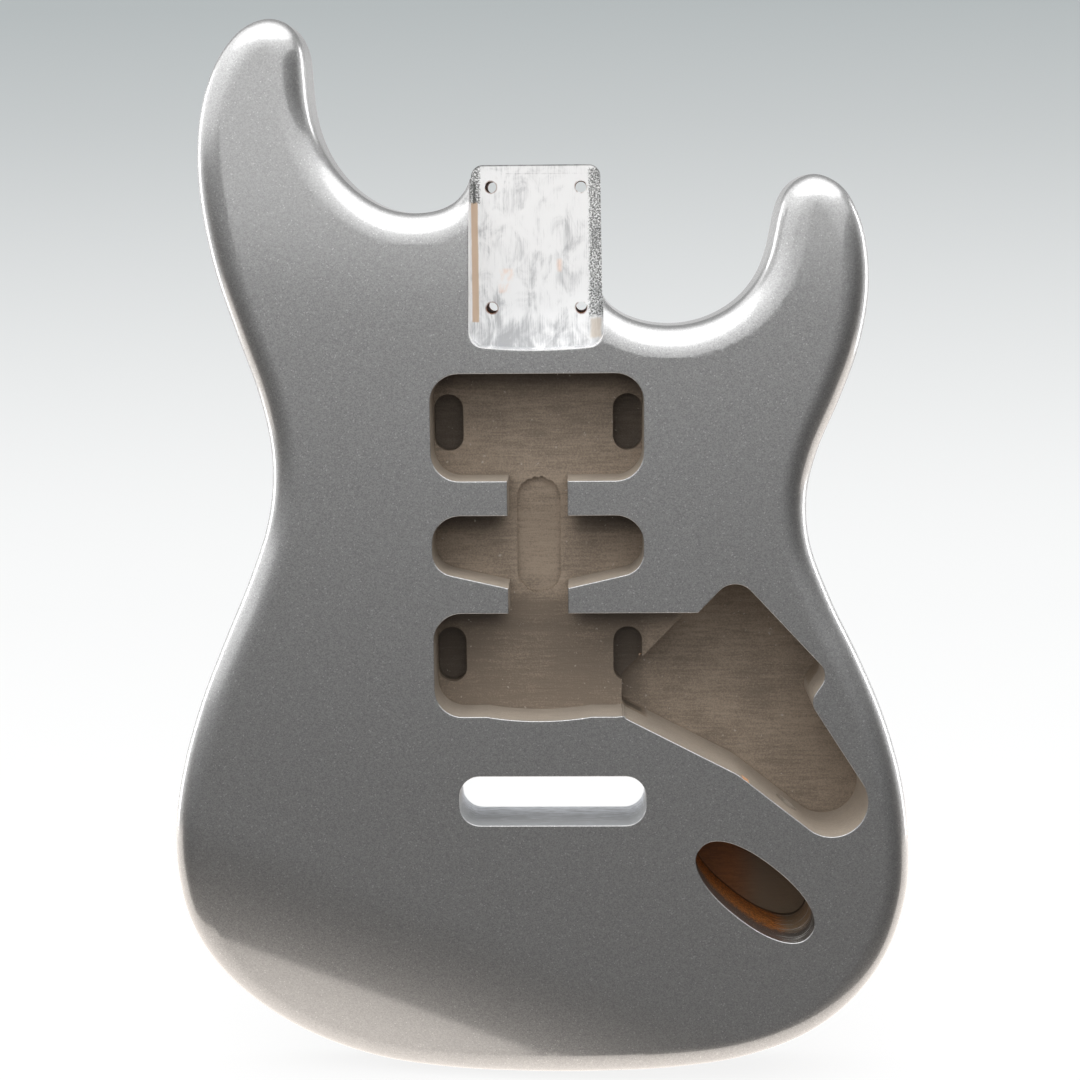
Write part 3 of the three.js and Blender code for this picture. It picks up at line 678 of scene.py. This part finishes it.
def rawWood():
    # Scorched and stained wood: orange-brown at the left, grey at the right, sooty near the face, and
    # a dark line of painted shade in the crease where the walls meet the floor.
    material, graph = newMaterial("rawWood")
    place, x, depth, y = millimetres(graph)
    turned = graph.stretched(place, wood["grain"], wood["grainTurn"])
    grain = graph.noise(turned, 1.0, 5.0, 0.65, 0.6)
    fine = graph.noise(place, wood["fine"], 3.0, 0.65)
    floor = graph.ramp(depth, *wood["floorDepth"])
    streaks = graph.ramp(grain * 0.75 + fine * 0.3, *wood["streaks"])
    streaks = streaks * (1 - floor * (1 - wood["floorShare"])) + floor * wood["floorGain"]
    colour = graph.blend(streaks, wood["brown"], wood["orange"])
    grey = (graph.ramp(x + grain * 8, *wood["greyFloor"]) * floor).highest(graph.ramp(x, *wood["greyWall"]))
    colour = graph.blend(grey * wood["greyShare"], colour, wood["grey"])
    sooty = (1 - graph.ramp(depth + grain * 16, *wood["sootEnd"])) * graph.ramp(depth, *wood["sootStart"])
    colour = graph.blend(sooty * wood["sootShare"], colour, wood["soot"])
    turning = graph.noise(graph.stretched(place, wood["ringScale"]), 1.0, 3.0, 0.7)
    rings = graph.ramp(turning, 0.56, 0.64) * graph.ramp(x, *wood["ringSide"])
    specks = graph.ramp(graph.noise(place, 1500.0, 2.0, 0.6), 0.66, 0.72)
    colour = graph.blend(rings.highest(specks) * (1 - floor) * wood["ringShare"], colour, wood["ring"])
    # Painted shade: a dark line in the crease where the walls meet the floor.
    creaseShade = graph.band(depth, *wood["creaseShadeDepth"], 0.8)
    colour = graph.blend(creaseShade * wood["creaseShadeShare"], colour, wood["dark"])
    bump = graph.bump(wood["relief"], wood["height"], grain * 0.7 + fine * 0.3)
    finishMatte(graph, colour, wood["roughness"], bump)
    return material


overspray = {
    "dark": (0.29, 0.296, 0.303), "light": (0.84, 0.875, 0.93), "cloud": (150, 900, 900),
    "fade": (2, 42), "tones": (0.28, 0.82), "relief": 0.3, "height": 0.0003, "roughness": 0.5,
}


def slotPaint():
    # Silver-grey overspray on the slot's walls, lighter towards the back.
    material, graph = newMaterial("slotPaint")
    place, x, depth, y = millimetres(graph)
    cloud = graph.noise(graph.stretched(place, overspray["cloud"]), 1.0, 5.0, 0.65, 0.4)
    tone = cloud * 0.6 + graph.ramp(depth, *overspray["fade"]) * 0.5
    colour = graph.blend(graph.ramp(tone, *overspray["tones"]), overspray["dark"], overspray["light"])
    bump = graph.bump(overspray["relief"], overspray["height"], cloud)
    finishMatte(graph, colour, overspray["roughness"], bump)
    return material


finishes = {
    "lacquer": makeLacquer(), "route": routePaint(), "primer": pocketPrimer(), "wood": rawWood(),
    "slot": slotPaint(),
}
finishOrder = list(finishes)
print("finishes mixed")

routes = {
    "lip": 0.4, "lipSteps": 4, "clear": 0.01, "overrun": 3.0, "overlap": 0.5, "longestEdge": 2.0,
    "pickupDepth": 23.0, "pickupLength": 90.3, "pickupWidth": 45.6, "pickupRadius": 12.0,
    "neckFromBolts": 75.0, "bridgeFromBolts": 177.9,
    "earWidth": 12.7, "earLength": 24.6, "earDepth": 31.0, "earInset": 0.04,
    "bridgeBow": 1.9, "swellInside": 5.0,
    "middleNear": 112.7, "middleEnd": 24.0, "middleCentre": 34.3, "middleRadius": 10.0,
    "channelWidth": 25.6, "grooveWidth": 19.0, "grooveDepth": 25.5, "grooveLand": 1.0, "grooveStop": 5.2,
    "tearHeight": 0.9, "tearScale": 0.9, "tearEdge": 0.7, "tearLength": 5.0, "tearSeed": 3, "roundEnd": 0.49,
}
controls = {
    "depth": 38.0, "width": 106.8, "length": 113.6, "left": 36.0, "near": 142.7,
    "corners": [
        (0, 0.406, 0.056), (0, 0.511, 0.047), (0.468, 0.739, 0.234), (1.442, 1.464, 0.145),
        (0.755, 0.456, 0.066), (0.832, 0.347, 0.067), (0.452, -0.037, 0.086),
    ],
}
jack = {
    "length": 62.4, "width": 27.2, "depth": 38.0, "tilt": -39.8, "squareness": 2.25,
    "x": 0.579, "y": -0.6001,
}
slot = {"length": 81.4, "width": 22.1, "radius": 9.0, "near": 227.4, "offset": 5.5}
springs = {
    "depth": 16.0, "width": 57.0, "farEnd": 108.0, "radius": 8.0, "blockNear": 15.0, "blockFar": 7.5,
    "blockSide": 4.0,
}
pocket = {"depth": pocketDepth, "bow": 1.8, "radius": 5.6, "overrun": 6.0}

cutters = []


def addCutter(name, bm, low, high, lip, finish):
    # The flat face in bm becomes a tool from low to high, whose top flares out in a round lip
    # where it leaves the front face.
    splitLongEdges(bm, routes["longestEdge"])
    start = bm.faces[:]
    bmesh.ops.recalc_face_normals(bm, faces=start)
    if start[0].normal.z > 0:
        bmesh.ops.reverse_faces(bm, faces=start)
    bmesh.ops.translate(bm, verts=bm.verts, vec=(0, 0, low))
    loop = [l.vert for l in start[0].loops][::-1]
    centre = [v.co.copy() for v in loop]
    outward = []
    for i, point in enumerate(centre):
        tangent = centre[(i + 1) % len(centre)] - centre[i - 1]
        outward.append(Vector((tangent.y, -tangent.x, 0)).normalized())
    levels = [(-lip, 0.0)] if lip else []
    count = routes["lipSteps"] if lip else 0
    for step in range(1, count + 1):
        turn = math.pi / 2 * step / count
        above = routes["clear"] if step == count else 0
        levels.append((above - lip * (1 - math.sin(turn)), lip * (1 - math.cos(turn))))
    levels.append((high, lip))
    start[0].material_index = finishOrder.index(finish)
    ring = loop
    for level, (z, out) in enumerate(levels):
        ring, walls = extrudeRing(bm, ring)
        for wall in walls:
            wall.material_index = finishOrder.index("lacquer" if level else finish)
        for vert, point, way in zip(ring, centre, outward):
            vert.co = (point.x + way.x * out, point.y + way.y * out, z)
    bm.faces.new(ring)
    bmesh.ops.recalc_face_normals(bm, faces=bm.faces)
    cutters.append(newPiece("cut_" + name, bm, finishes.values()))


def frontCut(name, corners, depth, finish, cornerSegments=10):
    bm = bmesh.new()
    cornerPolygon(bm, corners, cornerSegments)
    addCutter(name, bm, -depth, routes["overrun"], routes["lip"], finish)


def innerCut(name, corners, low, high):
    # A cut that starts below the front face, so it has no lip.
    bm = bmesh.new()
    cornerPolygon(bm, corners)
    addCutter(name, bm, low, high, 0, "route")


def pocketCut():
    bm = bmesh.new()
    mouth = tongue["reach"] + pocket["overrun"]
    end = tongue["endWidth"] / 2
    endY = pocket["bow"] - tongue["pocketEnd"]
    corners = [
        (pocketHalf(mouth), mouth, 0), (-pocketHalf(mouth), mouth, 0),
        (-end, endY, pocket["radius"]), (end, endY, pocket["radius"]),
    ]
    cornerPolygon(bm, corners)
    splitLongEdges(bm, routes["longestEdge"])
    for vert in bm.verts:
        if vert.co.y < endY + pocket["radius"]:
            low = 1 - (vert.co.y - endY) / pocket["radius"]
            vert.co.y -= pocket["bow"] * low * (1 - (vert.co.x / end) ** 2)
    addCutter("pocket", bm, -pocket["depth"], routes["overrun"], routes["lip"], "primer")


def boltCuts():
    for i in (-1, 1):
        for j in (-1, 1):
            bm = bmesh.new()
            bmesh.ops.create_circle(bm, cap_ends=True, segments=32, radius=bolts["diameter"] / 2)
            middle = (i * bolts["across"] / 2, j * bolts["along"] / 2, 0)
            bmesh.ops.translate(bm, verts=bm.verts, vec=middle)
            low = -body["thickness"] - routes["overrun"]
            addCutter("bolt", bm, low, bolts["overlap"] - pocket["depth"], 0, "wood")


def widePickupCuts(name, fromBolts):
    length, width = routes["pickupLength"], routes["pickupWidth"]
    corners = boxCorners(0, -fromBolts, length, width, routes["pickupRadius"])
    frontCut(name, corners, routes["pickupDepth"], "route")
    earWidth, earLength = routes["earWidth"], routes["earLength"]
    earX = (length - earWidth) / 2 - routes["earInset"]
    for side in (-1, 1):
        corners = boxCorners(side * earX, -fromBolts, earWidth, earLength, earWidth * routes["roundEnd"])
        innerCut(name + "Ear", corners, -routes["earDepth"], routes["overlap"] - routes["pickupDepth"])


def bridgeSwellCut():
    # The bridge pickup's far wall bows out in the middle.
    bm = bmesh.new()
    wall = -routes["bridgeFromBolts"] - routes["pickupWidth"] / 2
    half = routes["pickupLength"] / 4
    inside = wall + routes["swellInside"]
    cornerPolygon(bm, [(half, inside, 0), (-half, inside, 0), (-half, wall, 0), (half, wall, 0)])
    splitLongEdges(bm, routes["longestEdge"])
    for vert in bm.verts:
        if vert.co.y < wall + 0.1:
            vert.co.y -= routes["bridgeBow"] * (1 - (vert.co.x / half) ** 2)
    addCutter("bridgeSwell", bm, -routes["pickupDepth"], routes["overrun"], routes["lip"], "route")


def middlePickupCut():
    half = routes["pickupLength"] / 2
    near = -routes["middleNear"]
    end = near - routes["middleEnd"]
    nearRadius, farRadius = routes["pickupRadius"], routes["middleRadius"]
    corners = [
        (half, near, nearRadius), (-half, near, nearRadius), (-half, end, farRadius),
        (0, near - routes["middleCentre"], farRadius), (half, end, farRadius),
    ]
    frontCut("middlePickup", corners, routes["pickupDepth"], "route")


def channelCuts():
    top = -routes["neckFromBolts"]
    bottom = -routes["bridgeFromBolts"]
    middle = (top + bottom) / 2
    corners = boxCorners(0, middle, routes["channelWidth"], top - bottom, 0)
    frontCut("channel", corners, routes["pickupDepth"], "route")
    grooveTop = top - routes["pickupWidth"] / 2 - routes["grooveLand"]
    grooveBottom = bottom + routes["pickupWidth"] / 2 + routes["grooveStop"]
    middle = (grooveTop + grooveBottom) / 2
    half = (grooveTop - grooveBottom) / 2
    width = routes["grooveWidth"]
    bm = bmesh.new()
    cornerPolygon(bm, boxCorners(0, middle, width, half * 2, width * routes["roundEnd"]))
    splitLongEdges(bm, routes["tearEdge"])
    noise.seed_set(routes["tearSeed"])
    for vert in bm.verts:
        if abs(vert.co.y - middle) > half - routes["tearLength"]:  # torn where the cutter stopped
            vert.co += noise.noise_vector(vert.co * routes["tearScale"]) * routes["tearHeight"]
            vert.co.z = 0
    addCutter("groove", bm, -routes["grooveDepth"], routes["overlap"] - routes["pickupDepth"], 0, "route")


def controlPoint(across, along):
    return controls["left"] + across * controls["width"], -controls["near"] - along * controls["length"]


def controlCuts():
    width, left = controls["width"], controls["left"]
    corners = [
        (*controlPoint(across, along), share * width) for across, along, share in controls["corners"]
    ]
    frontCut("controls", corners, controls["depth"], "route", cornerSegments=24)
    nearY = -routes["bridgeFromBolts"] + routes["pickupWidth"] / 2
    farY = -routes["bridgeFromBolts"] - routes["pickupWidth"] / 2
    apexX = controlPoint(*controls["corners"][-1][:2])[0]
    shelf = [(left - routes["pickupRadius"], nearY, 0), (left, farY, 0), (apexX, nearY, 0)]
    frontCut("controlShelf", shelf, routes["pickupDepth"], "route")


def jackMiddle():
    return Vector((jack["x"] * body["width"] / 2, jack["y"] * body["length"], 0))


def jackCut():
    bm = bmesh.new()
    bmesh.ops.create_circle(bm, cap_ends=True, segments=96, radius=1)
    power = 2 / jack["squareness"]
    for vert in bm.verts:
        x, y = vert.co.x, vert.co.y
        vert.co.x = math.copysign(abs(x) ** power, x) * jack["length"] / 2
        vert.co.y = math.copysign(abs(y) ** power, y) * jack["width"] / 2
    tilt = Matrix.Rotation(math.radians(jack["tilt"]), 3, "Z")
    bmesh.ops.rotate(bm, verts=bm.verts, cent=(0, 0, 0), matrix=tilt)
    bmesh.ops.translate(bm, verts=bm.verts, vec=jackMiddle())
    addCutter("jack", bm, -jack["depth"], routes["overrun"], routes["lip"], "wood")


def slotCut():
    y = -slot["near"] - slot["width"] / 2
    corners = boxCorners(slot["offset"], y, slot["length"], slot["width"], slot["radius"])
    frontCut("slot", corners, body["thickness"] + routes["overrun"], "slot")


def springCuts():
    # The springs' long cavity and the wider one that the bridge's block swings in.
    far = -slot["near"] - slot["width"] - springs["blockFar"]
    blockWidth = slot["length"] + 2 * springs["blockSide"]
    low = -body["thickness"] - routes["overrun"]
    high = springs["depth"] - body["thickness"]
    for name, x, near, width in (
        ("springs", 0, springs["farEnd"] - slot["near"], springs["width"]),
        ("block", slot["offset"], springs["blockNear"] - slot["near"], blockWidth),
    ):
        innerCut(name, boxCorners(x, (near + far) / 2, width, near - far, springs["radius"]), low, high)


wireWays = {
    "jackTarget": (0.75, 0.75), "jackDiameter": 11.0,
    "groundStart": (0.1, 0.42), "groundDepths": (33.0, 36.5), "groundDiameter": 5.0,
}


def wireCut(name, start, end, diameter):
    bm = bmesh.new()
    way = end - start
    turn = way.to_track_quat("Z", "Y").to_matrix().to_4x4()
    bmesh.ops.create_cone(
        bm, cap_ends=True, segments=28, radius1=diameter / 2, radius2=diameter / 2, depth=way.length,
        matrix=Matrix.Translation((start + end) / 2) @ turn,
    )
    for face in bm.faces:
        face.material_index = finishOrder.index("route")
    cutters.append(newPiece("cut_" + name, bm, finishes.values()))


pocketCut()
boltCuts()
widePickupCuts("neckPickup", routes["neckFromBolts"])
widePickupCuts("bridgePickup", routes["bridgeFromBolts"])
bridgeSwellCut()
middlePickupCut()
channelCuts()
controlCuts()
jackCut()
slotCut()
springCuts()
jackEnd = jackMiddle() + Vector((0, 0, -jack["depth"] / 2))
controlEnd = Vector((*controlPoint(*wireWays["jackTarget"]), -controls["depth"] / 2))
wireCut("jackWire", jackEnd, controlEnd, wireWays["jackDiameter"])
groundX, groundY = controlPoint(*wireWays["groundStart"])
groundStart = Vector((groundX, groundY, -wireWays["groundDepths"][0]))
groundEnd = Vector((0, groundY, -wireWays["groundDepths"][1]))
wireCut("groundWire", groundStart, groundEnd, wireWays["groundDiameter"])
print("route tools made,", len(cutters))


def routeBody(bm):
    piece = newPiece("lacquered_body", bm, finishes.values())
    for cutter in cutters:
        cut = piece.modifiers.new(cutter.name, "BOOLEAN")
        cut.operation = "DIFFERENCE"
        cut.solver = "MANIFOLD"
        cut.object = cutter
    depsgraph = bpy.context.evaluated_depsgraph_get()
    routed = bpy.data.meshes.new_from_object(piece.evaluated_get(depsgraph))
    piece.modifiers.clear()
    piece.data = routed
    for cutter in cutters:
        bpy.data.objects.remove(cutter)
    return piece


bodyPiece = routeBody(slabMesh)
print("body routed,", len(bodyPiece.data.polygons), "faces")


def dressBody(piece):
    mesh = piece.data
    mesh.transform(standUp)
    mesh.shade_smooth()
    mesh.set_sharp_from_angle(angle=math.radians(38))
    weighted = piece.modifiers.new("evenNormals", "WEIGHTED_NORMAL")
    weighted.keep_sharp = True
    weighted.weight = 50
    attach(piece, "root")
    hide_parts("bass_side_board", "centre_board", "treble_side_board")


dressBody(bodyPiece)

view = {
    "place": (20.0, 14.5, 840.0), "roll": 0.48, "pitch": 9.3, "yaw": -1.3,
    "focal": 1997, "image": 1080, "sensor": 36,
}


def makeCamera():
    data = bpy.data.cameras.new("camera")
    data.sensor_width = view["sensor"]
    data.lens = view["sensor"] * view["focal"] / view["image"]
    camera = bpy.data.objects.new("camera", data)
    turn = (
        Matrix.Rotation(math.radians(view["roll"]), 3, "Z")
        @ Matrix.Rotation(math.radians(view["pitch"]), 3, "X")
        @ Matrix.Rotation(math.radians(view["yaw"]), 3, "Y")
    )
    lying = Matrix.Translation(Vector(view["place"])) @ turn.transposed().to_4x4()
    upright = standUp @ lying
    turned = upright.to_quaternion().to_matrix().to_4x4()
    camera.matrix_world = Matrix.Translation(upright.to_translation()) @ turned
    bpy.context.scene.collection.objects.link(camera)
    bpy.context.scene.camera = camera


makeCamera()

studio = {
    "floorZ": -0.3716, "front": -2.2, "back": 1.1, "halfWidth": 2.6,
    "bend": 0.5, "bendSteps": 24, "height": 2.4,
    "shade": 0.15, "paper": (0.75, 0.75, 0.75, 1),
    "low": (0.985, 0.985, 0.983), "high": (0.428, 0.468, 0.478),
    "riseHeight": 0.63, "risePower": 1.4, "farDepth": 1.6, "farShare": 0.4,
}


def extrudeEdges(bm, edges, shift):
    grown = bmesh.ops.extrude_edge_only(bm, edges=edges)["geom"]
    bmesh.ops.translate(bm, verts=ofKind(grown, bmesh.types.BMVert), vec=shift)
    return grown


def makeSweep():
    # A floor that turns up into a backdrop behind the body.
    bm = bmesh.new()
    start = [
        bm.verts.new((-studio["halfWidth"], studio["front"], studio["floorZ"])),
        bm.verts.new((studio["halfWidth"], studio["front"], studio["floorZ"])),
    ]
    grown = extrudeEdges(bm, [bm.edges.new(start)], (0, studio["back"] - studio["front"], 0))
    turned = bmesh.ops.spin(
        bm, geom=ofKind(grown, bmesh.types.BMEdge),
        cent=(0, studio["back"], studio["floorZ"] + studio["bend"]), axis=(1, 0, 0),
        angle=math.pi / 2, steps=studio["bendSteps"], use_merge=False,
    )["geom_last"]
    extrudeEdges(bm, ofKind(turned, bmesh.types.BMEdge), (0, 0, studio["height"]))
    bmesh.ops.recalc_face_normals(bm, faces=bm.faces)
    sweep = newPiece("sweep", bm, [sweepPaper()])
    sweep.data.shade_smooth()
    sweep.visible_glossy = False  # the lacquer mirrors the studio round it, which the world holds
    sweep.visible_diffuse = False
    sweep.visible_shadow = False


def sweepPaper():
    # White at the floor and greyer up the backdrop. The shaded part keeps the body's shadow.
    material, graph = newMaterial("paleSweep")
    x, y, z = graph.split(graph.add("ShaderNodeTexCoord", output=3))
    rise = ((z - studio["floorZ"]) / studio["riseHeight"]).highest(0) ** studio["risePower"]
    far = (y / studio["farDepth"]).highest(0) * studio["farShare"]
    fall = (rise + far) / (1 + studio["farShare"])
    colour = graph.blend(fall, studio["low"], studio["high"])
    white = graph.add("ShaderNodeEmission", None, {"Color": colour, "Strength": 1.0})
    paper = graph.add("ShaderNodeBsdfDiffuse", None, {"Color": studio["paper"]})
    surface = graph.add("ShaderNodeMixShader", None, [studio["shade"], white, paper])
    finishMaterial(graph, surface)
    return material


makeSweep()

# What the lacquer mirrors, by direction. A name alone is a brightness, and a name with a second
# part is the span of the direction in which that light comes in: a haze and a soft light overhead,
# a lit side, a band of bright paper behind, a dim rear and room, and a pale table below.
room = {
    "dim": 0.06, "behind": (-0.053, 0.324),
    "haze": 1.26, "hazeUp": (-0.058, 0.0), "hazeDip": 0.474,
    "softLight": 2.9, "softUp": (0.49, 0.68), "softBack": (0.05, 0.8),
    "left": 1.5, "right": 0.08, "leftToRight": (-0.1, 0.1),
    "sideAcross": (0.053, 0.353), "sideUp": (0.0, 0.156), "sideBack": (0.6, 0.8),
    "paper": 6.8, "paperBack": (0.516, 0.663), "paperUp": (-0.329, 0.321), "paperSoft": 0.06,
    "rear": 0.64, "highRear": 0.3, "rearUp": (0.0, 0.35),
    "table": (1.4, 1.29, 1.19), "tableFade": (0.0, 0.05), "tableDown": (0.22, 0.27),
    "tableEnd": 0.93, "notch": 0.95, "notchMiddle": 0.1, "notchSide": (0.3, 1.3),
    "seen": (0.8, 0.81, 0.82, 1),
}


def makeWorld():
    world = bpy.data.worlds.new("studio")
    world.use_nodes = True
    bpy.context.scene.world = world
    graph = Graph(world.node_tree)
    x, y, z = graph.split(graph.add("ShaderNodeTexCoord"))
    across = x * x
    behind = graph.ramp(y, *room["behind"])
    haze = graph.ramp(z - across * room["hazeDip"], *room["hazeUp"]) * room["haze"]
    softLight = graph.ramp(z, *room["softUp"]) * room["softLight"] * (1 - graph.ramp(y, *room["softBack"]))
    light = (haze * (1 - behind)).highest(softLight)
    side = graph.ramp(across, *room["sideAcross"]) * graph.ramp(z, *room["sideUp"])
    side = side * (1 - graph.ramp(y, *room["sideBack"]))
    side = side * (room["left"] + graph.ramp(x, *room["leftToRight"]) * (room["right"] - room["left"]))
    paper = graph.band(y, *room["paperBack"], room["paperSoft"])
    paper = paper * graph.band(z, *room["paperUp"], room["paperSoft"])
    rear = room["rear"] + graph.ramp(z, *room["rearUp"]) * (room["highRear"] - room["rear"])
    light = light.highest(side).highest(paper * room["paper"]).highest(behind * rear).highest(room["dim"])
    below = (0 - z).highest(0.05)
    notch = graph.ramp(abs(x / below + room["notchMiddle"]), *room["notchSide"]) * room["notch"]
    table = graph.ramp(y + below * (room["tableEnd"] - notch), *room["tableFade"])
    table = table * graph.ramp(below, *room["tableDown"])
    colour = graph.blend(table, graph.grey(light), room["table"])
    lit = graph.add("ShaderNodeBackground", None, {"Color": colour, "Strength": 1.0})
    seen = graph.add("ShaderNodeBackground", None, {"Color": room["seen"], "Strength": 1.0})
    camera = graph.add("ShaderNodeLightPath")
    both = graph.add("ShaderNodeMixShader", None, [camera, lit, seen])
    graph.add("ShaderNodeOutputWorld", None, {"Surface": both})


makeWorld()

bpy.context.scene.view_settings.view_transform = "Standard"
